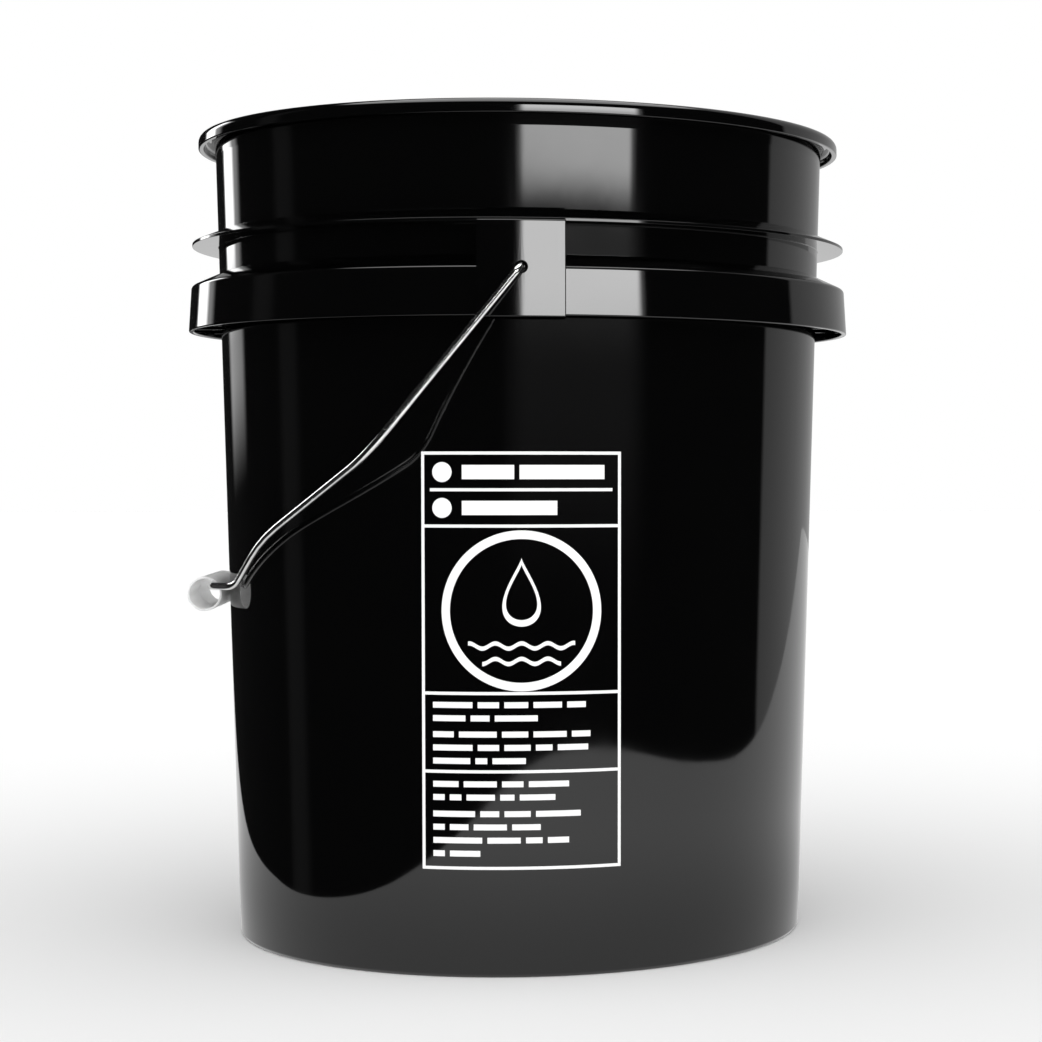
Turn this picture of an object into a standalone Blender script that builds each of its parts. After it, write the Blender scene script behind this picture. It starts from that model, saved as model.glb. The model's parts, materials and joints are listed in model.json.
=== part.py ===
"""A 19 litre pail for washing cars: one moulded bucket, a steel wire bail and the tube grip on the bail.

Metres, +Z up. The origin is on the bucket's axis, on the surface that it stands on. The bail's pivots
are at -Y and +Y, and the bail hangs against the wall on the -X side.
"""

import math

import bmesh
import bpy
from mathutils import Matrix, Vector

MM = 0.001

# Bucket wall, a cone of one thickness
HEIGHT = 368 * MM
BASE_RADIUS = 131.0 * MM
WALL_TAPER = 0.0286  # growth of the outer radius for each metre of height
WALL = 2.3 * MM

# Floor, raised inside a ring foot
FLOOR_UNDERSIDE = 4.0 * MM
FLOOR_TOP = 6.8 * MM
FLOOR_FILLET = 4.0 * MM
FOOT_OUTER = 129.8 * MM
FOOT_INNER = 125.6 * MM
FOOT_EDGE = 1.5 * MM

# Rim: the wall turns over and down at the top, which leaves a groove under the lip
LIP_RADIUS = 149.1 * MM
LIP_BOTTOM = 361.7 * MM
LIP_WALL = 2.4 * MM
LIP_FACE = 3.0 * MM  # height of the lip's straight outer face
LIP_LEAN = 0.1 * MM  # how far that face leans in at its lower edge
GROOVE_TOP = 365.4 * MM
GROOVE_EDGE = 1.2 * MM  # chamfer along the groove's two upper corners
GROOVE_BOTTOM = 357.7 * MM  # where the groove's inner side runs out into the wall
RIM_EDGE = 0.6 * MM
DRAFT = 0.4 * MM  # small lean of short moulded faces

# Stiffening flange between the rim and the skirt, thin at its edge
FLANGE_RADIUS = 152.0 * MM
FLANGE_BOTTOM = 316.9 * MM
FLANGE_TOP = 318.2 * MM  # at its outer edge
FLANGE_ROOT = 323.0 * MM  # height at which its sloping top meets the wall

# Skirt, open underneath, which stops stacked buckets from wedging
SKIRT_ROOT = 304.0 * MM
SKIRT_SHOULDER_RADIUS = 151.2 * MM
SKIRT_SHOULDER = 298.8 * MM
SKIRT_TOP_RADIUS = 152.5 * MM
SKIRT_TOP = 297.4 * MM
SKIRT_FOOT_RADIUS = 153.7 * MM
SKIRT_BOTTOM = 277.8 * MM
SKIRT_WALL = 2.3 * MM

# Radial gussets under the skirt
GUSSET_PLACES = 28
GUSSET_THICKNESS = 1.5 * MM
GUSSET_BOTTOM = 280.0 * MM
GUSSET_SET_IN = 1.0 * MM  # how far a gusset's edges run into the walls around it

# Ears, a hollow boss at each end of the pivot axis
EAR_RADIUS = 156.5 * MM  # at the bottom of its face, which leans in as the skirt does
EAR_HALF_WIDTH = 18.4 * MM
EAR_BOTTOM = 277.1 * MM
EAR_TOP = 317.1 * MM
EAR_TOP_AT_WALL = 323.6 * MM
EAR_WALL = 2.3 * MM
EAR_ROOT = 138.5 * MM
POCKET_INNER = 141.4 * MM
POCKET_BELOW = 6.0 * MM
EAR_HOLE = 5.0 * MM

# Bail wire. REACH is measured from the pivot axis along the legs, SPREAD along the pivot axis, and
# OFFSET square to both, away from the bucket
PIVOT_HEIGHT = 297.7 * MM
LEG_ANGLE = math.radians(50.9)  # below the horizontal, at rest
WIRE = 3.2 * MM
HOOK_LENGTH = 8.5 * MM
HOOK_SPREAD = 147.8 * MM
LEG_SPREAD = 161.9 * MM
END_BEND = 4.0 * MM
SHOULDER_REACH = 100.5 * MM
SHOULDER_SPREAD = 159.9 * MM
SHOULDER_BEND = 26.0 * MM
KNEE_REACH = 159.1 * MM
KNEE_SPREAD = 87.5 * MM
KNEE_OFFSET = 15.7 * MM
KNEE_BEND = 150.0 * MM
ELBOW_REACH = 186.4 * MM
ELBOW_SPREAD = 51.4 * MM
ELBOW_OFFSET = 14.0 * MM
ELBOW_BEND = 20.0 * MM
SEAT_REACH = 194.3 * MM
SEAT_SPREAD = 39.5 * MM
SEAT_OFFSET = 23.6 * MM
SEAT_BEND = 10.0 * MM

# Grip, a hollow tube that hangs on the wire and turns freely
GRIP_LENGTH = 72.0 * MM
GRIP_RADIUS = 7.8 * MM
GRIP_BORE = 6.8 * MM
GRIP_EDGE = 0.3 * MM
GRIP_X = -143.7 * MM
GRIP_Z = 158.0 * MM

BUCKET_STEPS = 72
GRIP_STEPS = 40
ARC_STEP = math.radians(12)  # the most that the wire turns between two of its points
MERGE = 0.0001


def clear_scene():
    for old in list(bpy.data.objects):
        bpy.data.objects.remove(old, do_unlink=True)


def material(name, colour, roughness, metallic=0.0):
    made = bpy.data.materials.new(name)
    made.use_nodes = True
    shader = made.node_tree.nodes["Principled BSDF"]
    shader.inputs["Base Color"].default_value = (*colour, 1.0)
    shader.inputs["Roughness"].default_value = roughness
    shader.inputs["Metallic"].default_value = metallic
    return made


def object_from(name, mesh, parent=None):
    made = bpy.data.objects.new(name, mesh)
    bpy.context.scene.collection.objects.link(made)
    made.parent = parent
    return made


def empty_at(name, place, parent=None):
    """An empty on a joint's axis, placed in the parent's frame."""
    made = bpy.data.objects.new(name, None)
    bpy.context.scene.collection.objects.link(made)
    made.location = place
    made.parent = parent
    return made


def as_helper(helper):
    helper.hide_render = True
    helper.display_type = "WIRE"
    return helper


def lathe(name, profile, steps, closed, parent=None):
    """Turns (radius, height) points about Z. The profile runs down its outer side."""
    mesh = bpy.data.meshes.new(name)
    points = [(radius, 0.0, height) for radius, height in profile]
    edges = [(i, i + 1) for i in range(len(points) - 1)]
    if closed:
        edges.append((len(points) - 1, 0))
    mesh.from_pydata(points, edges, [])
    made = object_from(name, mesh, parent)
    screw = made.modifiers.new("Turn", "SCREW")
    screw.axis = "Z"
    screw.angle = math.tau
    screw.steps = steps
    screw.render_steps = steps
    screw.use_merge_vertices = True
    screw.merge_threshold = MERGE
    screw.use_smooth_shade = True
    return made


def wall_radius(height):
    """Outer radius of the bucket's wall."""
    return BASE_RADIUS + WALL_TAPER * height


def arc_points(centre, radius, start, end, count):
    """Points (radius, height) on an arc, in degrees from +R towards +Z."""
    found = []
    for i in range(count + 1):
        angle = math.radians(start + (end - start) * i / count)
        found.append((centre[0] + radius * math.cos(angle), centre[1] + radius * math.sin(angle)))
    return found


def bucket_profile():
    """The bucket's section: out along the floor, up inside, over the rim and down outside."""
    inner_top = wall_radius(HEIGHT) - WALL
    inner_foot = wall_radius(FLOOR_TOP) - WALL
    fillet_centre = (inner_foot - FLOOR_FILLET, FLOOR_TOP + FLOOR_FILLET)
    rim_bend = HEIGHT - LIP_BOTTOM - LIP_FACE
    rim_centre = (LIP_RADIUS - rim_bend, HEIGHT - rim_bend)
    groove_inner = wall_radius(GROOVE_TOP) + RIM_EDGE
    groove_outer = LIP_RADIUS - LIP_WALL - DRAFT
    points = [(0.0, FLOOR_TOP)]
    points += arc_points(fillet_centre, FLOOR_FILLET, -90, 0, 3)
    points += [(inner_top, HEIGHT - RIM_EDGE), (inner_top + RIM_EDGE, HEIGHT)]
    points += arc_points(rim_centre, rim_bend, 90, 0, 5)
    points += [
        (LIP_RADIUS - LIP_LEAN, LIP_BOTTOM),
        (groove_outer + DRAFT, LIP_BOTTOM),
        (groove_outer, GROOVE_TOP - GROOVE_EDGE),
        (groove_outer - GROOVE_EDGE, GROOVE_TOP),
        (groove_inner + GROOVE_EDGE, GROOVE_TOP),
        (groove_inner, GROOVE_TOP - GROOVE_EDGE),
        (wall_radius(GROOVE_BOTTOM), GROOVE_BOTTOM),
        (wall_radius(FLANGE_ROOT), FLANGE_ROOT),
        (FLANGE_RADIUS, FLANGE_TOP),
        (FLANGE_RADIUS, FLANGE_BOTTOM),
        (wall_radius(FLANGE_BOTTOM), FLANGE_BOTTOM),
        (wall_radius(SKIRT_ROOT), SKIRT_ROOT),
        (SKIRT_SHOULDER_RADIUS, SKIRT_SHOULDER),
        (SKIRT_TOP_RADIUS, SKIRT_TOP),
        (SKIRT_FOOT_RADIUS, SKIRT_BOTTOM),
        (SKIRT_FOOT_RADIUS - SKIRT_WALL, SKIRT_BOTTOM),
        (SKIRT_TOP_RADIUS - SKIRT_WALL, SKIRT_TOP - SKIRT_WALL),
        (wall_radius(SKIRT_ROOT), SKIRT_ROOT - SKIRT_WALL - DRAFT),
        (BASE_RADIUS, FOOT_EDGE),
        (FOOT_OUTER, 0.0),
        (FOOT_INNER, 0.0),
        (FOOT_INNER - DRAFT, FLOOR_UNDERSIDE),
        (0.0, FLOOR_UNDERSIDE),
    ]
    return points


def arc_block(name, section, half_width, pieces, parent):
    """A closed block with a (radius, height) section, curved about Z, its sides at x = -/+ half_width.

    It lies on the -Y side. The section runs from the inner bottom corner outwards and round.
    """
    shape = bmesh.new()
    rings = []
    for i in range(pieces + 1):
        x = half_width * (2 * i / pieces - 1)
        ring = [shape.verts.new((x, -math.sqrt(r * r - x * x), z)) for r, z in section]
        rings.append(ring)
    count = len(section)
    for near, far in zip(rings[:-1], rings[1:]):
        for i in range(count):
            j = (i + 1) % count
            shape.faces.new((near[i], far[i], far[j], near[j]))
    shape.faces.new(rings[0])
    shape.faces.new(reversed(rings[-1]))
    bmesh.ops.recalc_face_normals(shape, faces=shape.faces)
    mesh = bpy.data.meshes.new(name)
    shape.to_mesh(mesh)
    shape.free()
    return as_helper(object_from(name, mesh, parent))


def ear_radius(height):
    """Radius of an ear's face, which keeps its distance from the skirt."""
    lean = (SKIRT_FOOT_RADIUS - SKIRT_TOP_RADIUS) / (SKIRT_TOP - SKIRT_BOTTOM)
    return EAR_RADIUS - lean * (height - EAR_BOTTOM)


def ear_roof(radius):
    """Height of an ear's sloping roof at this radius."""
    face = ear_radius(EAR_TOP)
    slope = (EAR_TOP_AT_WALL - EAR_TOP) / (face - wall_radius(EAR_TOP))
    return EAR_TOP + slope * (face - radius)


def ear_section():
    return [
        (EAR_ROOT, EAR_BOTTOM),
        (ear_radius(EAR_BOTTOM), EAR_BOTTOM),
        (ear_radius(EAR_TOP), EAR_TOP),
        (EAR_ROOT, ear_roof(EAR_ROOT)),
    ]


def pocket_section():
    bottom = EAR_BOTTOM - POCKET_BELOW
    outer_top = ear_radius(EAR_TOP) - EAR_WALL
    return [
        (POCKET_INNER, bottom),
        (ear_radius(bottom) - EAR_WALL, bottom),
        (outer_top, ear_roof(outer_top) - EAR_WALL),
        (POCKET_INNER, ear_roof(POCKET_INNER) - EAR_WALL),
    ]


def hole_cutter(name, parent):
    """A round rod along Y through the front face of an ear."""
    shape = bmesh.new()
    bmesh.ops.create_cone(
        shape,
        cap_ends=True,
        segments=20,
        radius1=EAR_HOLE / 2,
        radius2=EAR_HOLE / 2,
        depth=4 * EAR_WALL,
        matrix=Matrix.Translation((0, -(EAR_RADIUS - EAR_WALL / 2), PIVOT_HEIGHT))
        @ Matrix.Rotation(math.pi / 2, 4, "X"),
    )
    mesh = bpy.data.meshes.new(name)
    shape.to_mesh(mesh)
    shape.free()
    return as_helper(object_from(name, mesh, parent))


def gusset_ring(name, parent):
    """Thin radial plates between the wall and the skirt. None stands behind an ear."""
    outer = SKIRT_FOOT_RADIUS - SKIRT_WALL + GUSSET_SET_IN
    outline = [
        (wall_radius(GUSSET_BOTTOM) - GUSSET_SET_IN, GUSSET_BOTTOM),
        (outer, GUSSET_BOTTOM),
        (SKIRT_TOP_RADIUS - SKIRT_WALL + GUSSET_SET_IN, SKIRT_TOP - SKIRT_WALL + GUSSET_SET_IN),
        (wall_radius(SKIRT_ROOT) - GUSSET_SET_IN, SKIRT_ROOT - SKIRT_WALL + GUSSET_SET_IN),
    ]
    shape = bmesh.new()
    for place in range(GUSSET_PLACES):
        if place % (GUSSET_PLACES // 2) == 0:
            continue
        turn = Matrix.Rotation(math.tau * place / GUSSET_PLACES, 3, "Z")
        sides = []
        for side in (-1, 1):
            x = side * GUSSET_THICKNESS / 2
            sides.append([shape.verts.new(turn @ Vector((x, -r, z))) for r, z in outline])
        near, far = sides
        for i in range(len(outline)):
            j = (i + 1) % len(outline)
            shape.faces.new((near[i], far[i], far[j], near[j]))
        shape.faces.new(near)
        shape.faces.new(reversed(far))
    bmesh.ops.recalc_face_normals(shape, faces=shape.faces)
    mesh = bpy.data.meshes.new(name)
    shape.to_mesh(mesh)
    shape.free()
    return as_helper(object_from(name, mesh, parent))


def boolean(target, operand, operation):
    cut = target.modifiers.new(operand.name, "BOOLEAN")
    cut.operation = operation
    cut.solver = "EXACT"
    cut.object = operand


def turned_copy(source, name):
    """The same shape at the back of the bucket."""
    copy = object_from(name, source.data, source.parent)
    copy.rotation_euler = (0, 0, math.pi)
    return as_helper(copy)


def make_bucket(parent):
    body = lathe("bucket_body", bucket_profile(), BUCKET_STEPS, closed=False, parent=parent)
    body.data.materials.append(material("black_moulded_plastic", (0.004, 0.004, 0.004), 0.12))
    front_ear = arc_block("ear_front", ear_section(), EAR_HALF_WIDTH, 6, parent)
    pocket_half = EAR_HALF_WIDTH - EAR_WALL
    front_pocket = arc_block("pocket_front", pocket_section(), pocket_half, 6, parent)
    front_hole = hole_cutter("hole_front", parent)
    for shape, back_name, operation in (
        (front_ear, "ear_back", "UNION"),
        (front_pocket, "pocket_back", "DIFFERENCE"),
        (front_hole, "hole_back", "DIFFERENCE"),
    ):
        boolean(body, shape, operation)
        boolean(body, turned_copy(shape, back_name), operation)
    boolean(body, gusset_ring("gussets", parent), "UNION")
    return body


def bail_point(reach, spread, offset):
    """A point in the bail's own frame, whose origin is the middle of the pivot axis."""
    along = Vector((-math.cos(LEG_ANGLE), 0, -math.sin(LEG_ANGLE)))
    away = Vector((-math.sin(LEG_ANGLE), 0, math.cos(LEG_ANGLE)))
    return along * reach + away * offset + Vector((0, -spread, 0))


def bail_corners():
    """Corner points of the wire from the front hook to the back one, each with its bend radius."""
    half = [
        (bail_point(-HOOK_LENGTH, HOOK_SPREAD, 0), 0),
        (bail_point(0, HOOK_SPREAD, 0), END_BEND),
        (bail_point(0, LEG_SPREAD, 0), END_BEND),
        (bail_point(SHOULDER_REACH, SHOULDER_SPREAD, 0), SHOULDER_BEND),
        (bail_point(KNEE_REACH, KNEE_SPREAD, KNEE_OFFSET), KNEE_BEND),
        (bail_point(ELBOW_REACH, ELBOW_SPREAD, ELBOW_OFFSET), ELBOW_BEND),
        (bail_point(SEAT_REACH, SEAT_SPREAD, SEAT_OFFSET), SEAT_BEND),
    ]
    flip = Matrix.Scale(-1, 3, (0, 1, 0))
    return half + [(flip @ point, bend) for point, bend in reversed(half)]


def rounded_path(corners):
    """Points along straight runs joined by tangent arcs."""
    path = [corners[0][0]]
    for i in range(1, len(corners) - 1):
        corner, bend = corners[i]
        back = (corners[i - 1][0] - corner).normalized()
        ahead = (corners[i + 1][0] - corner).normalized()
        half_angle = back.angle(ahead) / 2
        set_back = bend / math.tan(half_angle)
        centre = corner + (back + ahead).normalized() * (bend / math.sin(half_angle))
        first = corner + back * set_back - centre
        last = corner + ahead * set_back - centre
        sweep = math.pi - 2 * half_angle
        axis = first.cross(last)
        count = max(3, math.ceil(sweep / ARC_STEP))
        for k in range(count + 1):
            path.append(centre + Matrix.Rotation(sweep * k / count, 3, axis) @ first)
    path.append(corners[-1][0])
    return path


def make_bail(pivot):
    curve = bpy.data.curves.new("bail_wire", "CURVE")
    curve.dimensions = "3D"
    curve.bevel_depth = WIRE / 2
    curve.bevel_resolution = 3
    curve.use_fill_caps = True
    path = rounded_path(bail_corners())
    spline = curve.splines.new("POLY")
    spline.points.add(len(path) - 1)
    for point, place in zip(spline.points, path):
        point.co = (*place, 1.0)
    curve.materials.append(material("galvanised_steel_wire", (0.62, 0.62, 0.61), 0.25, 1.0))
    return object_from("bail_wire", curve, pivot)


def make_grip(axle):
    half = GRIP_LENGTH / 2
    profile = [
        (GRIP_BORE, half),
        (GRIP_RADIUS - GRIP_EDGE, half),
        (GRIP_RADIUS, half - GRIP_EDGE),
        (GRIP_RADIUS, -half + GRIP_EDGE),
        (GRIP_RADIUS - GRIP_EDGE, -half),
        (GRIP_BORE, -half),
    ]
    tube = lathe("grip", profile, GRIP_STEPS, closed=True, parent=axle)
    tube.rotation_euler = (math.pi / 2, 0, 0)
    tube.data.materials.append(material("white_moulded_plastic", (0.8, 0.8, 0.79), 0.2))
    return tube


def main():
    clear_scene()
    bpy.context.scene.unit_settings.scale_length = 1.0
    root = empty_at("bucket_origin", (0, 0, 0))
    make_bucket(root)
    pivot = empty_at("bail_swing_axis", (0, 0, PIVOT_HEIGHT), root)
    make_bail(pivot)
    axle = empty_at("grip_spin_axis", (GRIP_X, 0, GRIP_Z - PIVOT_HEIGHT), pivot)
    make_grip(axle)


main()
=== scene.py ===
"""The looks of a 19 litre wash bucket: a glossy black pail with a printed panel, a wire bail and a grip.

Metres, +Z up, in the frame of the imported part: the bucket's axis is the Z axis and it stands on z = 0.
The bail's pivots are at -Y and +Y, and the camera looks at the -Y side.
"""

import json
import math

import bmesh
import bpy
from mathutils import Matrix, Vector


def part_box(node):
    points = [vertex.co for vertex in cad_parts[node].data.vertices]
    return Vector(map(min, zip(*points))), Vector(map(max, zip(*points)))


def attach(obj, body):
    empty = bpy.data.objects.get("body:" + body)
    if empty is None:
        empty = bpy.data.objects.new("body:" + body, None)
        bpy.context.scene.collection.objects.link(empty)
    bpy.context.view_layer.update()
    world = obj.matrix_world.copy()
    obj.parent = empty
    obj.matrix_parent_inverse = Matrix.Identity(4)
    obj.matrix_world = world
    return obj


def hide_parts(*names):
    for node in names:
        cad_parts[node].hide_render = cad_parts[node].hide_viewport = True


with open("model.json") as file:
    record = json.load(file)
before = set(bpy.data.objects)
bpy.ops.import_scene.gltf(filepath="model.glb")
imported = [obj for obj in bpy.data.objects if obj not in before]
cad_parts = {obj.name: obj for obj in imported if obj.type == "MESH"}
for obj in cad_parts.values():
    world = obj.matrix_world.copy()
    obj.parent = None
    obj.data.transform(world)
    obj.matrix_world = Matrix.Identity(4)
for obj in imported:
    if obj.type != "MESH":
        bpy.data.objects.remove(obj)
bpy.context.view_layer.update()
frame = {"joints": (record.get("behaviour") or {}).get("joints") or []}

MM = 0.001
bucket_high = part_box("bucket_body")[1]
grip_low, grip_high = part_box("grip")
PIVOT = Vector(next(j["pos_m"] for j in frame["joints"] if j["name"] == "bail_swing"))

# Bucket wall, a cone of one thickness
HEIGHT = bucket_high.z
BASE_RADIUS = 131.0 * MM
WALL_TAPER = 0.0286  # growth of the outer radius for each metre of height
WALL = 2.3 * MM
DRAFT = 0.4 * MM  # small lean of short moulded faces

# Floor, raised inside a ring foot, with the mark of the injection gate at its centre
FLOOR_UNDERSIDE = 4.0 * MM
FLOOR_TOP = 6.8 * MM
FLOOR_FILLET = 4.0 * MM
FOOT_OUTER = 129.8 * MM
FOOT_INNER = 125.6 * MM
FOOT_EDGE = 1.5 * MM
GATE_RADIUS = 4.0 * MM
GATE_DEPTH = 1.2 * MM

# Rim: the wall turns over and down at the top, which leaves a groove under the lip
LIP_RADIUS = 149.1 * MM
LIP_BOTTOM = 361.7 * MM
LIP_WALL = 2.4 * MM
RIM_BEND = 3.3 * MM
GROOVE_TOP = 365.4 * MM
GROOVE_BOTTOM = 357.7 * MM
RIM_EDGE = 0.6 * MM

# Stiffening flange between the rim and the skirt, thin at its edge
FLANGE_RADIUS = 152.0 * MM
FLANGE_BOTTOM = 316.9 * MM
FLANGE_TOP = 318.2 * MM  # at its outer edge
FLANGE_ROOT = 323.0 * MM  # height at which its sloping top meets the wall

# Skirt, open underneath
SKIRT_ROOT = 304.0 * MM
SKIRT_CORNER_RADIUS = 152.45 * MM
SKIRT_CORNER = 298.2 * MM
SKIRT_FOOT_RADIUS = bucket_high.x
SKIRT_BOTTOM = 277.8 * MM
SKIRT_WALL = 2.3 * MM
SKIRT_LEAN = 0.0612  # how far skirt and ears lean in for each metre of height

# Radial gussets under the skirt
GUSSET_PLACES = 28
GUSSET_THICKNESS = 1.5 * MM
GUSSET_BOTTOM = 280.0 * MM
GUSSET_SET_IN = 1.0 * MM  # how far a gusset's edges run into the walls around it

# Ears, a hollow boss at each end of the pivot axis
EAR_RADIUS = bucket_high.y  # at the bottom of its face
EAR_HALF_WIDTH = 18.4 * MM
EAR_BOTTOM = 277.1 * MM
EAR_TOP = 317.1 * MM
EAR_TOP_AT_WALL = 323.6 * MM
EAR_WALL = 2.3 * MM
EAR_ROOT = 138.5 * MM
EAR_EDGE = 0.5 * MM
POCKET_INNER = 141.4 * MM
POCKET_BELOW = 6.0 * MM
EAR_HOLE = 5.0 * MM  # diameter
EAR_HOLE_FLARE = 0.4 * MM

# Bail wire. Each corner is its reach along the legs, its spread along the pivot axis, its offset away
# from the bucket, and the radius that the wire is bent to there, in millimetres
LEG_ANGLE = math.radians(50.9)  # below the horizontal, at rest
WIRE = 3.2 * MM  # diameter
BAIL_CORNERS = (
    (-8.5, 147.8, 0.0, 0.0),
    (0.0, 147.8, 0.0, 4.0),
    (0.0, 161.9, 0.0, 4.0),
    (100.5, 159.9, 0.0, 26.0),
    (159.1, 87.5, 15.7, 150.0),
    (186.4, 51.4, 14.0, 20.0),
    (194.3, 39.5, 23.6, 10.0),
)

# Grip, a hollow tube. Its bore is drawn from both ends, which leaves a faint step near the middle
GRIP_LENGTH = grip_high.y - grip_low.y
GRIP_RADIUS = (grip_high.z - grip_low.z) / 2
GRIP_BORE = 6.8 * MM  # radius
GRIP_EDGE = 0.3 * MM
WITNESS_HEIGHT = 0.12 * MM
WITNESS_WIDTH = 0.5 * MM

# Printed panel, under the front ear: its width is along the wall, and its heights are above the floor
PANEL_WIDTH = 85.0 * MM
PANEL_BOTTOM = 46.0 * MM
PANEL_TOP = 222.0 * MM
PANEL_LINE = 1.3 * MM
PANEL_DIVIDERS = (190.8 * MM, 120.5 * MM, 87.5 * MM)
HEADER_LINE = 206.0 * MM
HEADER_LINE_INSET = 3.8 * MM
RING_MIDDLE = 155.2 * MM
RING_RADIUS = 33.8 * MM
RING_STROKE = 3.6 * MM
DROP_MIDDLE = 163.0 * MM
DROP_SIZE = 11.5 * MM
DROP_STROKE = 2.2 * MM
WAVES = ((140.5 * MM, 22.5 * MM), (134.0 * MM, 16.5 * MM))  # height and half width
WAVE_STROKE = 1.8 * MM
WAVE_SWELL = 1.1 * MM
WAVE_LENGTH = 11.0 * MM
INK = 0.04 * MM
INK_BITE = 0.02 * MM  # how far the film sinks into the wall, so that it has no gap behind it
PANEL_STRIP = 2.0 * MM

# Rows of bars where a label has its words. Each is its height and the lengths of its bars, in
# millimetres
HEADING_HEIGHT = 6.0 * MM
HEADING_INSET = 17.5 * MM
HEADING_DOT = 4.2 * MM
HEADINGS = ((213.4, (22, 36)), (198.4, (40,)))
ROW_HEIGHT = 2.5 * MM
ROW_INSET = 4.8 * MM
ROW_GAP = 2.2 * MM
ROWS = (
    (115.6, (17, 9, 10, 12, 8)),
    (110.0, (14, 8, 18)),
    (103.2, (9, 16, 11, 14, 8)),
    (97.6, (17, 9, 11, 7, 13)),
    (92.0, (16, 5, 14)),
    (82.2, (11, 14, 9, 17)),
    (76.6, (5, 5, 12, 6, 15)),
    (69.6, (18, 8, 11, 19)),
    (64.0, (5, 8, 14, 12)),
    (58.4, (21, 14, 7, 9)),
    (52.8, (5, 13)),
)

# How finely curves are divided
TURN_STEPS = 360
FILLET_STEP = math.radians(15)
WIRE_STEP = math.radians(4)
EAR_STEPS = 24
SMOOTH_ANGLE = math.radians(38)  # an edge that turns more than this stays sharp


# ---------------------------------------------------------------- mesh helpers


def object_from(name, mesh):
    made = bpy.data.objects.new(name, mesh)
    bpy.context.scene.collection.objects.link(made)
    return made


def mesh_from(name, shape):
    mesh = bpy.data.meshes.new(name)
    shape.to_mesh(mesh)
    shape.free()
    return mesh


def rounded_path(corners, step):
    """Points along straight runs joined by tangent arcs. Each corner is a place and a bend radius."""
    path = [corners[0][0]]
    for i in range(1, len(corners) - 1):
        corner, bend = corners[i]
        if bend == 0:
            path.append(corner)
            continue
        back = (corners[i - 1][0] - corner).normalized()
        ahead = (corners[i + 1][0] - corner).normalized()
        half_angle = back.angle(ahead) / 2
        set_back = bend / math.tan(half_angle)
        centre = corner + (back + ahead).normalized() * (bend / math.sin(half_angle))
        first = corner + back * set_back - centre
        last = corner + ahead * set_back - centre
        sweep = math.pi - 2 * half_angle
        axis = first.cross(last)
        count = max(2, math.ceil(sweep / step))
        for k in range(count + 1):
            path.append(centre + Matrix.Rotation(sweep * k / count, 3, axis) @ first)
    path.append(corners[-1][0])
    return path


def rounded_profile(corners):
    """(radius, height) points from (radius, height, fillet) corners."""
    places = [(Vector((r, 0, z)), fillet) for r, z, fillet in corners]
    return [(p.x, p.z) for p in rounded_path(places, FILLET_STEP)]


def turned(profile, steps, closed=False):
    """A bmesh of a profile turned about Z. A point at radius 0 becomes one vertex."""
    shape = bmesh.new()
    rings = []
    for radius, height in profile:
        if radius < 1e-7:
            pole = shape.verts.new((0, 0, height))
            rings.append([pole] * steps)
            continue
        ring = []
        for k in range(steps):
            angle = math.tau * k / steps
            ring.append(shape.verts.new((radius * math.cos(angle), radius * math.sin(angle), height)))
        rings.append(ring)
    pairs = list(zip(rings[:-1], rings[1:]))
    if closed:
        pairs.append((rings[-1], rings[0]))
    for near, far in pairs:
        for k in range(steps):
            j = (k + 1) % steps
            corners = [near[k], near[j], far[j], far[k]]
            shape.faces.new(list(dict.fromkeys(corners)))
    bmesh.ops.recalc_face_normals(shape, faces=shape.faces)
    return shape


def smooth(made, angle=SMOOTH_ANGLE):
    """Smooth shading that keeps real corners sharp, with large faces ruling the normals."""
    mesh = made.data
    mesh.shade_smooth()
    mesh.set_sharp_from_angle(angle=angle)
    weighted = made.modifiers.new("Weighted normals", "WEIGHTED_NORMAL")
    weighted.keep_sharp = True
    weighted.weight = 100


def combine(target, operand, operation):
    """Adds or cuts operand, then removes it."""
    change = target.modifiers.new(operation, "BOOLEAN")
    change.operation = operation
    change.solver = "MANIFOLD"
    change.object = operand
    graph = bpy.context.evaluated_depsgraph_get()
    result = bpy.data.meshes.new_from_object(target.evaluated_get(graph))
    target.modifiers.remove(change)
    result.materials.clear()
    target.data = result
    bpy.data.objects.remove(operand)


def half_turned(source):
    """A copy at the back of the bucket of an object at its front."""
    mesh = source.data.copy()
    mesh.transform(Matrix.Rotation(math.pi, 4, "Z"))
    return object_from("back", mesh)


# ---------------------------------------------------------------- bucket


def wall_radius(height):
    return BASE_RADIUS + WALL_TAPER * height


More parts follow.
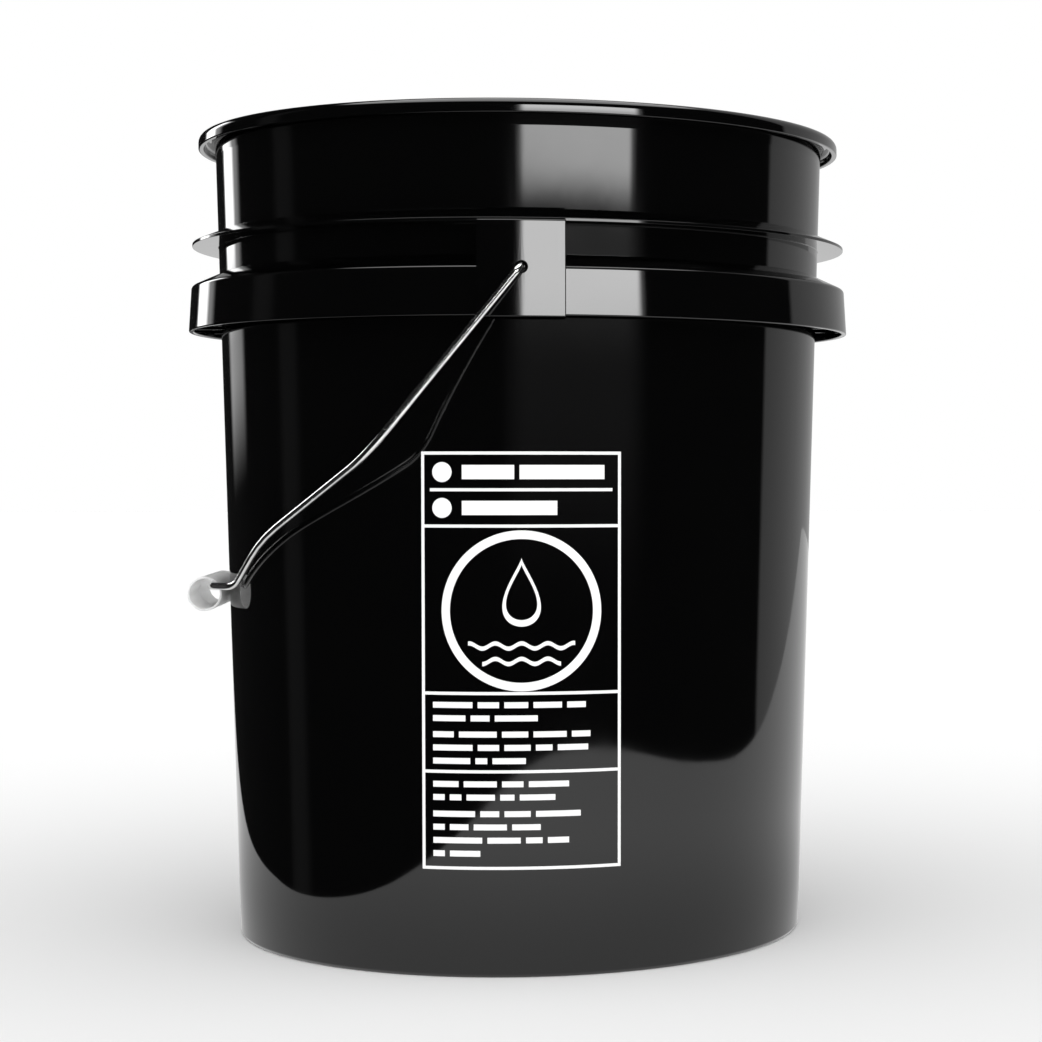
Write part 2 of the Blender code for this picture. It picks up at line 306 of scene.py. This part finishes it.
def bucket_profile():
    """The bucket's section: out along the floor, up inside, over the rim and down outside.

    Each corner is its radius, its height and the fillet that rounds it.
    """
    inner_foot = wall_radius(FLOOR_TOP) - WALL
    inner_top = wall_radius(HEIGHT) - WALL
    groove_inner = wall_radius(GROOVE_TOP) + RIM_EDGE
    groove_outer = LIP_RADIUS - LIP_WALL
    skirt_inner_foot = SKIRT_FOOT_RADIUS - SKIRT_WALL
    skirt_inner_top = SKIRT_CORNER_RADIUS - SKIRT_WALL
    skirt_roof = SKIRT_CORNER - SKIRT_WALL
    skirt_roof_root = SKIRT_ROOT - SKIRT_WALL - DRAFT
    corners = [
        (0.0, FLOOR_TOP, 0),
        (inner_foot, FLOOR_TOP, FLOOR_FILLET),
        (inner_top, HEIGHT, 0.8 * MM),
        (LIP_RADIUS, HEIGHT, RIM_BEND),
        (LIP_RADIUS, LIP_BOTTOM, 0.6 * MM),
        (groove_outer, LIP_BOTTOM, 0.6 * MM),
        (groove_outer - DRAFT, GROOVE_TOP, 1.4 * MM),
        (groove_inner, GROOVE_TOP, 1.4 * MM),
        (wall_radius(GROOVE_BOTTOM), GROOVE_BOTTOM, 3.0 * MM),
        (wall_radius(FLANGE_ROOT), FLANGE_ROOT, 0.03 * MM),
        (FLANGE_RADIUS, FLANGE_TOP, 0.35 * MM),
        (FLANGE_RADIUS, FLANGE_BOTTOM, 0.15 * MM),
        (wall_radius(FLANGE_BOTTOM), FLANGE_BOTTOM, 0.3 * MM),
        (wall_radius(SKIRT_ROOT), SKIRT_ROOT, 0.2 * MM),
        (SKIRT_CORNER_RADIUS, SKIRT_CORNER, 1.8 * MM),
        (SKIRT_FOOT_RADIUS, SKIRT_BOTTOM, 0.6 * MM),
        (skirt_inner_foot, SKIRT_BOTTOM, 0.6 * MM),
        (skirt_inner_top, skirt_roof, 1.2 * MM),
        (wall_radius(skirt_roof_root), skirt_roof_root, 1.2 * MM),
        (wall_radius(FOOT_EDGE), FOOT_EDGE, 1.2 * MM),
        (FOOT_OUTER, 0.0, 0.8 * MM),
        (FOOT_INNER, 0.0, 0.8 * MM),
        (FOOT_INNER - DRAFT, FLOOR_UNDERSIDE, 1.0 * MM),
        (GATE_RADIUS, FLOOR_UNDERSIDE, 0.5 * MM),
        (GATE_RADIUS - 0.3 * MM, FLOOR_UNDERSIDE - GATE_DEPTH, 0.4 * MM),
        (0.0, FLOOR_UNDERSIDE - GATE_DEPTH, 0),
    ]
    return rounded_profile(corners)


def ear_radius(height):
    """Radius of an ear's face, which leans in as the skirt does."""
    return EAR_RADIUS - SKIRT_LEAN * (height - EAR_BOTTOM)


def ear_roof(radius):
    """Height of an ear's sloping roof."""
    face = ear_radius(EAR_TOP)
    slope = (EAR_TOP_AT_WALL - EAR_TOP) / (face - wall_radius(EAR_TOP))
    return EAR_TOP + slope * (face - radius)


def arc_block(name, section, half_width):
    """A block at the front with a (radius, height) section, curved about Z, its corners rounded."""
    shape = bmesh.new()
    rings = []
    for i in range(EAR_STEPS + 1):
        x = half_width * (2 * i / EAR_STEPS - 1)
        rings.append([shape.verts.new((x, -math.sqrt(r * r - x * x), z)) for r, z in section])
    count = len(section)
    for near, far in zip(rings[:-1], rings[1:]):
        for i in range(count):
            j = (i + 1) % count
            shape.faces.new((near[i], far[i], far[j], near[j]))
    shape.faces.new(rings[0])
    shape.faces.new(reversed(rings[-1]))
    bmesh.ops.recalc_face_normals(shape, faces=shape.faces)
    corners = [edge for edge in shape.edges if edge.calc_face_angle() > SMOOTH_ANGLE]
    bmesh.ops.bevel(
        shape,
        geom=corners,
        offset=EAR_EDGE,
        offset_type="OFFSET",
        segments=4,
        profile=0.5,
        affect="EDGES",
    )
    return object_from(name, mesh_from(name, shape))


def ear_block():
    """The solid that an ear is before it is hollowed."""
    section = [
        (EAR_ROOT, EAR_BOTTOM),
        (ear_radius(EAR_BOTTOM), EAR_BOTTOM),
        (ear_radius(EAR_TOP), EAR_TOP),
        (EAR_ROOT, ear_roof(EAR_ROOT)),
    ]
    return arc_block("ear", section, EAR_HALF_WIDTH)


def ear_pocket():
    """A cutter for an ear's hollow, which is open underneath."""
    bottom = EAR_BOTTOM - POCKET_BELOW
    outer_top = ear_radius(EAR_TOP) - EAR_WALL
    section = [
        (POCKET_INNER, bottom),
        (ear_radius(bottom) - EAR_WALL, bottom),
        (outer_top, ear_roof(outer_top) - EAR_WALL),
        (POCKET_INNER, ear_roof(POCKET_INNER) - EAR_WALL),
    ]
    return arc_block("pocket", section, EAR_HALF_WIDTH - EAR_WALL)


def ear_hole():
    """A cutter for the bail's hole, flared a little where it meets the face."""
    face = ear_radius(PIVOT.z)
    bore = EAR_HOLE / 2
    mouth = bore + EAR_HOLE_FLARE
    profile = [
        (0.0, -2 * EAR_WALL),
        (bore, -2 * EAR_WALL),
        (bore, -EAR_HOLE_FLARE),
        (mouth, 0.0),
        (mouth, EAR_WALL),
        (0.0, EAR_WALL),
    ]
    mesh = mesh_from("hole", turned(profile, 48))
    turn = Matrix.Rotation(math.pi / 2, 4, "X")
    mesh.transform(Matrix.Translation((0, -face, PIVOT.z)) @ turn)
    return object_from("hole", mesh)


def gusset_ring():
    """The gussets, evenly round, without the two that would stand inside the ears."""
    outline = [
        (wall_radius(GUSSET_BOTTOM) - GUSSET_SET_IN, GUSSET_BOTTOM),
        (SKIRT_FOOT_RADIUS - SKIRT_WALL + GUSSET_SET_IN, GUSSET_BOTTOM),
        (SKIRT_CORNER_RADIUS - SKIRT_WALL + GUSSET_SET_IN, SKIRT_CORNER - SKIRT_WALL),
        (wall_radius(SKIRT_ROOT) - GUSSET_SET_IN, SKIRT_ROOT - SKIRT_WALL),
    ]
    shape = bmesh.new()
    for place in range(GUSSET_PLACES):
        if place % (GUSSET_PLACES // 2) == 0:
            continue
        turn = Matrix.Rotation(math.tau * place / GUSSET_PLACES, 3, "Z")
        near, far = (
            [shape.verts.new(turn @ Vector((side * GUSSET_THICKNESS / 2, -r, z))) for r, z in outline]
            for side in (-1, 1)
        )
        for i in range(len(outline)):
            j = (i + 1) % len(outline)
            shape.faces.new((near[i], far[i], far[j], near[j]))
        shape.faces.new(near)
        shape.faces.new(reversed(far))
    bmesh.ops.recalc_face_normals(shape, faces=shape.faces)
    return object_from("gussets", mesh_from("gussets", shape))


def make_bucket(plastic):
    bucket = object_from("pail", mesh_from("pail", turned(bucket_profile(), TURN_STEPS)))
    for make, operation in ((ear_block, "UNION"), (ear_pocket, "DIFFERENCE"), (ear_hole, "DIFFERENCE")):
        front = make()
        back = half_turned(front)
        combine(bucket, front, operation)
        combine(bucket, back, operation)
    combine(bucket, gusset_ring(), "UNION")
    smooth(bucket)
    bucket.data.materials.append(plastic)
    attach(bucket, "bucket")
    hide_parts("bucket_body")
    return bucket


# ---------------------------------------------------------------- bail and grip


def bail_point(reach, spread, offset):
    """Where a point of the wire lies with the bail at rest, on the -Y half."""
    along = Vector((-math.cos(LEG_ANGLE), 0, -math.sin(LEG_ANGLE)))
    away = Vector((-math.sin(LEG_ANGLE), 0, math.cos(LEG_ANGLE)))
    return PIVOT + along * reach + away * offset + Vector((0, -spread, 0))


def make_bail(steel):
    half = [(bail_point(r * MM, s * MM, o * MM), bend * MM) for r, s, o, bend in BAIL_CORNERS]
    flip = Matrix.Scale(-1, 3, (0, 1, 0))
    corners = half + [(flip @ place, bend) for place, bend in reversed(half)]
    path = rounded_path(corners, WIRE_STEP)
    curve = bpy.data.curves.new("bail", "CURVE")
    curve.dimensions = "3D"
    curve.bevel_depth = WIRE / 2
    curve.bevel_resolution = 8
    curve.use_fill_caps = True
    spline = curve.splines.new("POLY")
    spline.points.add(len(path) - 1)
    for point, place in zip(spline.points, path):
        point.co = (*place, 1.0)
    spline.use_smooth = True
    curve.materials.append(steel)
    bail = object_from("bail", curve)
    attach(bail, "bail")
    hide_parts("bail_wire")
    return bail


def make_grip(plastic):
    half = GRIP_LENGTH / 2
    witness = GRIP_BORE - WITNESS_HEIGHT
    profile = rounded_profile(
        [
            (GRIP_BORE, 0.0, 0),
            (GRIP_BORE, half, GRIP_EDGE),
            (GRIP_RADIUS, half, GRIP_EDGE),
            (GRIP_RADIUS, -half, GRIP_EDGE),
            (GRIP_BORE, -half, GRIP_EDGE),
            (GRIP_BORE, -WITNESS_WIDTH, 0),
            (witness, -WITNESS_WIDTH, 0),
            (witness, 0.0, 0),
        ]
    )
    mesh = mesh_from("grip_tube", turned(profile, 96, closed=True))
    centre = (grip_low + grip_high) / 2
    mesh.transform(Matrix.Translation(centre) @ Matrix.Rotation(math.pi / 2, 4, "X"))
    tube = object_from("grip_tube", mesh)
    smooth(tube)
    tube.data.materials.append(plastic)
    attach(tube, "grip")
    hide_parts("grip")
    return tube


# ---------------------------------------------------------------- printed panel


def patch(shape, outline):
    """One flat patch of ink with an outline of (across, height) points, anticlockwise from outside."""
    shape.faces.new([shape.verts.new((across, 0, height)) for across, height in outline])


def bar(shape, left, right, low, high):
    """An upright rectangle of ink."""
    patch(shape, [(left, low), (right, low), (right, high), (left, high)])


def band(shape, inner, outer):
    """A closed band of ink between two loops of as many points."""
    for i in range(len(inner)):
        j = (i + 1) % len(inner)
        patch(shape, [inner[i], outer[i], outer[j], inner[j]])


def circle(middle, radius, count=144):
    """Points of a circle whose centre is on the panel's middle line."""
    turn = math.tau / count
    return [(radius * math.cos(turn * k), middle + radius * math.sin(turn * k)) for k in range(count)]


def drop(middle, size, count=72):
    """A water drop: round below, and narrowing to a point at the top."""
    points = []
    for k in range(count):
        angle = math.tau * k / count
        narrow = abs(math.sin(angle / 2)) ** 1.5
        points.append((-size * math.sin(angle) * narrow, middle + 1.25 * size * math.cos(angle)))
    return points


def wave(shape, left, right, height, width, swell, length):
    """A wavy line of ink."""
    steps = round((right - left) / (0.7 * MM))
    line = []
    for k in range(steps + 1):
        across = left + (right - left) * k / steps
        line.append((across, height + swell * math.cos(math.tau * across / length)))
    half = width / 2
    for (x0, z0), (x1, z1) in zip(line[:-1], line[1:]):
        patch(shape, [(x0, z0 - half), (x1, z1 - half), (x1, z1 + half), (x0, z0 + half)])


def draw_frame(shape):
    """The border and the lines that divide the panel."""
    half = PANEL_WIDTH / 2
    inner = half - PANEL_LINE
    bar(shape, -half, half, PANEL_BOTTOM, PANEL_BOTTOM + PANEL_LINE)
    bar(shape, -half, half, PANEL_TOP - PANEL_LINE, PANEL_TOP)
    for left, right in ((-half, -inner), (inner, half)):
        bar(shape, left, right, PANEL_BOTTOM + PANEL_LINE, PANEL_TOP - PANEL_LINE)
    for height in PANEL_DIVIDERS:
        bar(shape, -inner, inner, height - PANEL_LINE / 2, height + PANEL_LINE / 2)
    reach = half - HEADER_LINE_INSET
    bar(shape, -reach, reach, HEADER_LINE - PANEL_LINE / 2, HEADER_LINE + PANEL_LINE / 2)


def draw_picture(shape):
    """A ring round a water drop over two waves."""
    band(shape, circle(RING_MIDDLE, RING_RADIUS - RING_STROKE), circle(RING_MIDDLE, RING_RADIUS))
    band(shape, drop(DROP_MIDDLE, DROP_SIZE - DROP_STROKE), drop(DROP_MIDDLE, DROP_SIZE))
    for height, reach in WAVES:
        wave(shape, -reach, reach, height, WAVE_STROKE, WAVE_SWELL, WAVE_LENGTH)


def draw_row(shape, left, middle, thickness, lengths):
    """Bars in a row, a gap apart."""
    for length in lengths:
        bar(shape, left, left + length * MM, middle - thickness / 2, middle + thickness / 2)
        left += length * MM + ROW_GAP


def draw_writing(shape):
    """Plain bars where a label has its words, and a dot before each heading."""
    edge = -PANEL_WIDTH / 2
    for height, lengths in HEADINGS:
        dot = circle(height * MM, HEADING_DOT, 48)
        patch(shape, [(across + edge + ROW_INSET + HEADING_DOT, up) for across, up in dot])
        draw_row(shape, edge + HEADING_INSET, height * MM, HEADING_HEIGHT, lengths)
    for height, lengths in ROWS:
        draw_row(shape, edge + ROW_INSET, height * MM, ROW_HEIGHT, lengths)


def wrapped(place, lift):
    """Where a point of the flat print lies on the front wall, lifted off it."""
    radius = wall_radius(place.z) + lift
    angle = place.x / wall_radius(place.z)
    return Vector((radius * math.sin(angle), -radius * math.cos(angle), place.z))


def make_panel(ink):
    """The print, drawn flat, cut into narrow strips and wrapped round the wall as a thin closed film."""
    shape = bmesh.new()
    draw_frame(shape)
    draw_picture(shape)
    draw_writing(shape)
    cuts = round(PANEL_WIDTH / PANEL_STRIP)
    for k in range(1, cuts):
        across = PANEL_WIDTH * (k / cuts - 0.5)
        everything = list(shape.verts) + list(shape.edges) + list(shape.faces)
        bmesh.ops.bisect_plane(shape, geom=everything, plane_co=(across, 0, 0), plane_no=(1, 0, 0))
    everything = list(shape.verts) + list(shape.edges) + list(shape.faces)
    copied = bmesh.ops.duplicate(shape, geom=everything)
    twins = copied["vert_map"]
    back_verts = {item for item in copied["geom"] if isinstance(item, bmesh.types.BMVert)}
    front_rims = [edge for edge in shape.edges if edge.is_boundary and edge.verts[0] not in back_verts]
    for edge in front_rims:
        a, b = edge.verts
        shape.faces.new((a, b, twins[b], twins[a]))
    for vert in shape.verts:
        vert.co = wrapped(vert.co, -INK_BITE if vert in back_verts else INK)
    bmesh.ops.recalc_face_normals(shape, faces=shape.faces)
    panel = object_from("printed_panel", mesh_from("printed_panel", shape))
    panel.data.materials.append(ink)
    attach(panel, "bucket")
    return panel


# ---------------------------------------------------------------- materials


class Nodes:
    """A short way to build a node tree."""

    def __init__(self, owner):
        owner.use_nodes = True
        self.tree = owner.node_tree
        self.tree.nodes.clear()

    def add(self, kind, **settings):
        node = self.tree.nodes.new(kind)
        for name, value in settings.items():
            setattr(node, name, value)
        return node

    def put(self, socket, value):
        """Links value if it is a socket, and sets it if it is a number or a colour."""
        if isinstance(value, bpy.types.NodeSocket):
            self.tree.links.new(value, socket)
        else:
            socket.default_value = value

    def math(self, operation, *values):
        node = self.add("ShaderNodeMath", operation=operation)
        for socket, value in zip(node.inputs, values):
            self.put(socket, value)
        return node.outputs[0]

    def ramp(self, value, from_min, from_max, to_min=0.0, to_max=1.0):
        """A smooth step of value between two levels."""
        node = self.add("ShaderNodeMapRange", interpolation_type="SMOOTHSTEP")
        for name, number in (
            ("Value", value),
            ("From Min", from_min),
            ("From Max", from_max),
            ("To Min", to_min),
            ("To Max", to_max),
        ):
            self.put(node.inputs[name], number)
        return node.outputs["Result"]

    def blend(self, share, first, second):
        """first where share is 0, and second where it is 1."""
        rest = self.math("MULTIPLY", self.math("SUBTRACT", 1.0, share), first)
        return self.math("ADD", self.math("MULTIPLY", share, second), rest)

    def distance(self):
        """How far the shaded point is from the object's origin."""
        node = self.add("ShaderNodeVectorMath", operation="LENGTH")
        self.put(node.inputs[0], self.add("ShaderNodeTexCoord").outputs["Object"])
        return node.outputs["Value"]

    def noise(self, scale, detail=3.0, stretch=(1, 1, 1)):
        """Noise in the object's own coordinates. scale is in features per metre."""
        place = self.add("ShaderNodeTexCoord").outputs["Object"]
        mapping = self.add("ShaderNodeMapping")
        mapping.inputs["Scale"].default_value = stretch
        self.put(mapping.inputs["Vector"], place)
        node = self.add("ShaderNodeTexNoise")
        self.put(node.inputs["Vector"], mapping.outputs["Vector"])
        node.inputs["Scale"].default_value = scale
        node.inputs["Detail"].default_value = detail
        return node.outputs["Fac"]

    def bump(self, height, distance):
        """A normal from a height of 0 to 1 that stands for distance, in metres."""
        node = self.add("ShaderNodeBump")
        node.inputs["Strength"].default_value = 1.0
        node.inputs["Distance"].default_value = distance
        self.put(node.inputs["Height"], height)
        return node.outputs["Normal"]

    def mix(self, factor, first, second):
        node = self.add("ShaderNodeMix", data_type="RGBA")
        self.put(node.inputs["Factor"], factor)
        self.put(node.inputs["A"], first)
        self.put(node.inputs["B"], second)
        return node.outputs["Result"]

    def surface(self, shader):
        out = self.add("ShaderNodeOutputMaterial")
        self.put(out.inputs["Surface"], shader)


def principled(nodes, **inputs):
    """The material's shader. An input is named as its socket is, with _ for each space."""
    shader = nodes.add("ShaderNodeBsdfPrincipled")
    for name, value in inputs.items():
        nodes.put(shader.inputs[name.replace("_", " ")], value)
    nodes.surface(shader.outputs[0])
    return shader


def black_plastic():
    """Mirror-glossy moulded polyethylene with a faint ripple and a little haze from handling."""
    material = bpy.data.materials.new("black_moulded_plastic")
    nodes = Nodes(material)
    haze = nodes.noise(24, detail=5)
    roughness = nodes.ramp(haze, 0.35, 0.75, 0.035, 0.07)
    colour = nodes.mix(haze, (0.0007, 0.0007, 0.0008, 1), (0.0012, 0.0012, 0.0012, 1))
    ripple = nodes.bump(nodes.noise(90, detail=2, stretch=(1, 1, 0.35)), 0.00001)
    principled(nodes, Base_Color=colour, Roughness=roughness, IOR=1.5, Normal=ripple)
    return material


def galvanised_steel():
    """Bright drawn wire under thin zinc, with a fine grain and small dull patches."""
    material = bpy.data.materials.new("galvanised_wire")
    nodes = Nodes(material)
    patches = nodes.noise(180, detail=3)
    colour = nodes.mix(nodes.ramp(patches, 0.35, 0.7), (0.80, 0.80, 0.79, 1), (0.66, 0.66, 0.67, 1))
    roughness = nodes.ramp(patches, 0.3, 0.75, 0.15, 0.24)
    grain = nodes.bump(nodes.noise(1500, detail=2), 0.000003)
    principled(nodes, Base_Color=colour, Roughness=roughness, Metallic=1.0, Normal=grain)
    return material


def white_plastic():
    """White polyethylene tube, waxy and a little translucent."""
    material = bpy.data.materials.new("white_moulded_plastic")
    nodes = Nodes(material)
    cloud = nodes.noise(120, detail=3)
    colour = nodes.mix(cloud, (0.93, 0.93, 0.92, 1), (0.96, 0.96, 0.95, 1))
    roughness = nodes.ramp(cloud, 0.3, 0.7, 0.3, 0.42)
    ripple = nodes.bump(nodes.noise(700, detail=2), 0.00001)
    shader = principled(nodes, Base_Color=colour, Roughness=roughness, Normal=ripple)
    shader.inputs["Specular IOR Level"].default_value = 0.2
    shader.inputs["Subsurface Weight"].default_value = 1.0
    shader.inputs["Subsurface Radius"].default_value = (1, 1, 1)
    shader.inputs["Subsurface Scale"].default_value = 0.006
    return material


def white_ink():
    """Screen-printed ink, a little thin and uneven."""
    material = bpy.data.materials.new("white_ink")
    nodes = Nodes(material)
    grain = nodes.noise(900, detail=4)
    colour = nodes.mix(grain, (0.88, 0.88, 0.88, 1), (0.80, 0.80, 0.80, 1))
    roughness = nodes.ramp(grain, 0.3, 0.7, 0.3, 0.45)
    principled(nodes, Base_Color=colour, Roughness=roughness, Normal=nodes.bump(grain, 0.00001))
    return material


# ---------------------------------------------------------------- studio

# What the gloss reflects. Each light is a window on the sky: the azimuth of its middle, from 0 at -Y
# through 90 at +X, its half width, the elevation of its middle, its half height, the softness of its
# upright and its level edges, all in degrees, and its strength.
REFLECTED_LIGHTS = (
    ("softbox_low", 20.4, 20.2, 9.0, 5.5, 1.2, 0.6, 7.2),
    ("softbox_high", 20.4, 20.2, 12.2, 2.7, 1.2, 2.0, 4.8),
    ("softbox_rim", 20.4, 22.0, 9.0, 5.5, 0.7, 0.7, 0.9),
    ("softbox_glow", 20.4, 22.0, 2.0, 1.6, 5.0, 1.2, 0.3),
    ("softbox_haze", 20.4, 24.0, 0.0, 4.0, 6.0, 3.0, 0.12),
    ("left_strip", -141.5, 5.2, 14.0, 10.5, 2.0, 1.5, 4.8),
    ("left_strip_side", -139.0, 8.0, 12.0, 12.0, 2.5, 1.5, 1.1),
    ("thin_strip", -98.0, 5.0, 0.0, 40.0, 3.0, 5.0, 0.06),
    ("right_backdrop", 146.5, 39.5, 0.0, 60.0, 1.5, 10.0, 0.47),
    ("overhead", 0.0, 200.0, 90.0, 33.0, 5.0, 3.0, 3.5),
)
REFLECTED_DARK = 0.012  # what the gloss reflects between them
ROOM_LIGHT = 1.15  # what lights the floor and the white parts
ROOM_TILT = 0.7  # share by which it grows towards -Y and fades towards +Y

# Glowing sheet under the bucket that only the gloss sees, a painted reflection of lit floor. Its corners
# guide a smooth outline, in metres
PAPER_CORNERS = (
    (0.175, -0.69),
    (-0.04, -0.61),
    (-0.175, -0.37),
    (-0.215, -0.11),
    (-0.31, 0.08),
    (-0.43, 1.20),
    (-0.60, 2.90),
    (-1.00, 5.00),
    (3.30, 5.00),
    (2.30, 2.90),
    (1.15, 0.70),
    (0.68, 0.02),
    (0.595, -0.26),
    (0.42, -0.58),
)
PAPER_ROUNDS = 5
PAPER_NEAR = (0.13, 0.9)  # distance from the bucket's axis in metres, and glow there, kept low near the bucket as painted shade
PAPER_FAR = (0.45, 1.4)
PAPER_SIDE = 0.8  # share of that glow to the left and right, a painted shade at the sides
PAPER_BACK = -0.2  # what is added to that share straight behind, and taken from it in front, so that a painted shade darkens it behind

# Floor
FLOOR_HALF = 12
FLOOR_NEAR = (0.13, 0.82)  # distance from the bucket's axis in metres, and reflectance there, lowered near the bucket as painted shade
FLOOR_FAR = (0.8, 0.89)

# Camera
CAMERA_PLACE = (0.0004, -1.1538, 0.2135)
CAMERA_PITCH = -1.0  # degrees above the horizontal
CAMERA_YAW = -4.88  # degrees from +Y, anticlockwise from above
CAMERA_SENSOR = 36
CAMERA_LENS = 83.76
CAMERA_SHIFT = (-0.20, -0.0066)


def window(nodes, angle, middle, half, soft):
    """1 within half of middle, 0 outside it, and soft at the edges, all in degrees."""
    turn = nodes.math("WRAP", nodes.math("SUBTRACT", angle, middle), 180.0, -180.0)
    return nodes.ramp(nodes.math("ABSOLUTE", turn), half + soft, half - soft)


def reflected_sky(nodes, azimuth, elevation):
    """What the gloss sees in a direction."""
    total = REFLECTED_DARK
    for _, middle, half, height, half_height, soft_side, soft_level, strength in REFLECTED_LIGHTS:
        across = window(nodes, azimuth, middle, half, soft_side)
        up = window(nodes, elevation, height, half_height, soft_level)
        lit = nodes.math("MULTIPLY", nodes.math("MULTIPLY", across, up), strength)
        total = nodes.math("ADD", lit, total)
    return total


def make_world():
    """White to the camera, softboxes to the gloss, and soft light from all round to matt surfaces."""
    world = bpy.data.worlds.new("studio")
    bpy.context.scene.world = world
    nodes = Nodes(world)
    direction = nodes.add("ShaderNodeTexCoord").outputs["Generated"]
    split = nodes.add("ShaderNodeSeparateXYZ")
    nodes.put(split.inputs[0], direction)
    x, y, z = split.outputs
    toward = nodes.math("MULTIPLY", y, -1.0)
    azimuth = nodes.math("DEGREES", nodes.math("ARCTAN2", x, toward))
    elevation = nodes.math("DEGREES", nodes.math("ARCSINE", z))
    room = nodes.math("MULTIPLY_ADD", toward, ROOM_LIGHT * ROOM_TILT, ROOM_LIGHT)
    path = nodes.add("ShaderNodeLightPath")
    seen = path.outputs["Is Camera Ray"]
    glossy = path.outputs["Is Glossy Ray"]
    unseen = nodes.blend(glossy, room, reflected_sky(nodes, azimuth, elevation))
    strength = nodes.blend(seen, unseen, 1.0)
    background = nodes.add("ShaderNodeBackground")
    background.inputs["Color"].default_value = (1, 1, 1, 1)
    nodes.put(background.inputs["Strength"], strength)
    out = nodes.add("ShaderNodeOutputWorld")
    nodes.put(out.inputs["Surface"], background.outputs[0])
    world.cycles.sampling_method = "NONE"


def make_floor():
    """Matt floor that the gloss doesn't see, its colour darkened towards the bucket as painted shade. It
    is clear from below, to show the bucket's underside.
    """
    shape = bmesh.new()
    bmesh.ops.create_grid(shape, x_segments=1, y_segments=1, size=FLOOR_HALF)
    floor = object_from("floor", mesh_from("floor", shape))
    material = bpy.data.materials.new("pale_floor_painted_shade")
    nodes = Nodes(material)
    (near, dull), (far, pale) = FLOOR_NEAR, FLOOR_FAR
    diffuse = nodes.add("ShaderNodeBsdfDiffuse")
    # painted shade: the floor's colour darkens towards the bucket
    nodes.put(diffuse.inputs["Color"], nodes.ramp(nodes.distance(), near, far, dull, pale))
    clear = nodes.add("ShaderNodeBsdfTransparent")
    below = nodes.add("ShaderNodeNewGeometry").outputs["Backfacing"]
    mix = nodes.add("ShaderNodeMixShader")
    nodes.put(mix.inputs[0], below)
    nodes.put(mix.inputs[1], diffuse.outputs[0])
    nodes.put(mix.inputs[2], clear.outputs[0])
    nodes.surface(mix.outputs[0])
    floor.data.materials.append(material)
    floor.visible_glossy = False


def rounded_loop(corners, rounds):
    """A closed outline with its corners cut again and again, which ends in a smooth curve."""
    for _ in range(rounds):
        cut = []
        for i, corner in enumerate(corners):
            after = corners[(i + 1) % len(corners)]
            cut.append(corner.lerp(after, 0.25))
            cut.append(corner.lerp(after, 0.75))
        corners = cut
    return corners


def make_reflected_paper():
    """A sheet on the floor that glows and that only the gloss sees, a painted reflection of lit floor,
    dimmed near the bucket, at the sides and behind as painted shade.
    """
    outline = rounded_loop([Vector(corner) for corner in PAPER_CORNERS], PAPER_ROUNDS)
    shape = bmesh.new()
    shape.faces.new([shape.verts.new((*corner, 0)) for corner in outline])
    bmesh.ops.recalc_face_normals(shape, faces=shape.faces)
    bmesh.ops.triangulate(shape, faces=shape.faces)
    paper = object_from("reflected_paper", mesh_from("reflected_paper", shape))
    material = bpy.data.materials.new("glowing_paper_painted_shade")
    nodes = Nodes(material)
    split = nodes.add("ShaderNodeSeparateXYZ")
    nodes.put(split.inputs[0], nodes.add("ShaderNodeTexCoord").outputs["Object"])
    reach = nodes.distance()
    backward = nodes.math("DIVIDE", split.outputs["Y"], reach)
    (near, dull), (far, bright) = PAPER_NEAR, PAPER_FAR
    # painted shade: the glow is lower near the bucket, at the sides and behind it
    level = nodes.ramp(reach, near, far, dull, bright)
    share = nodes.math("MULTIPLY_ADD", backward, PAPER_BACK, PAPER_SIDE)
    emission = nodes.add("ShaderNodeEmission")
    nodes.put(emission.inputs["Strength"], nodes.math("MULTIPLY", level, share))
    nodes.surface(emission.outputs[0])
    paper.data.materials.append(material)
    paper.visible_camera = False
    paper.visible_diffuse = False
    paper.visible_shadow = False


def make_camera():
    camera = bpy.data.objects.new("camera", bpy.data.cameras.new("camera"))
    bpy.context.scene.collection.objects.link(camera)
    camera.location = CAMERA_PLACE
    camera.rotation_euler = (math.radians(90 + CAMERA_PITCH), 0, math.radians(CAMERA_YAW))
    camera.data.sensor_width = CAMERA_SENSOR
    camera.data.lens = CAMERA_LENS
    camera.data.shift_x, camera.data.shift_y = CAMERA_SHIFT
    bpy.context.scene.camera = camera


def main():
    bpy.context.scene.view_settings.view_transform = "Standard"
    make_bucket(black_plastic())
    make_bail(galvanised_steel())
    make_grip(white_plastic())
    make_panel(white_ink())
    make_world()
    make_floor()
    make_reflected_paper()
    make_camera()


main()
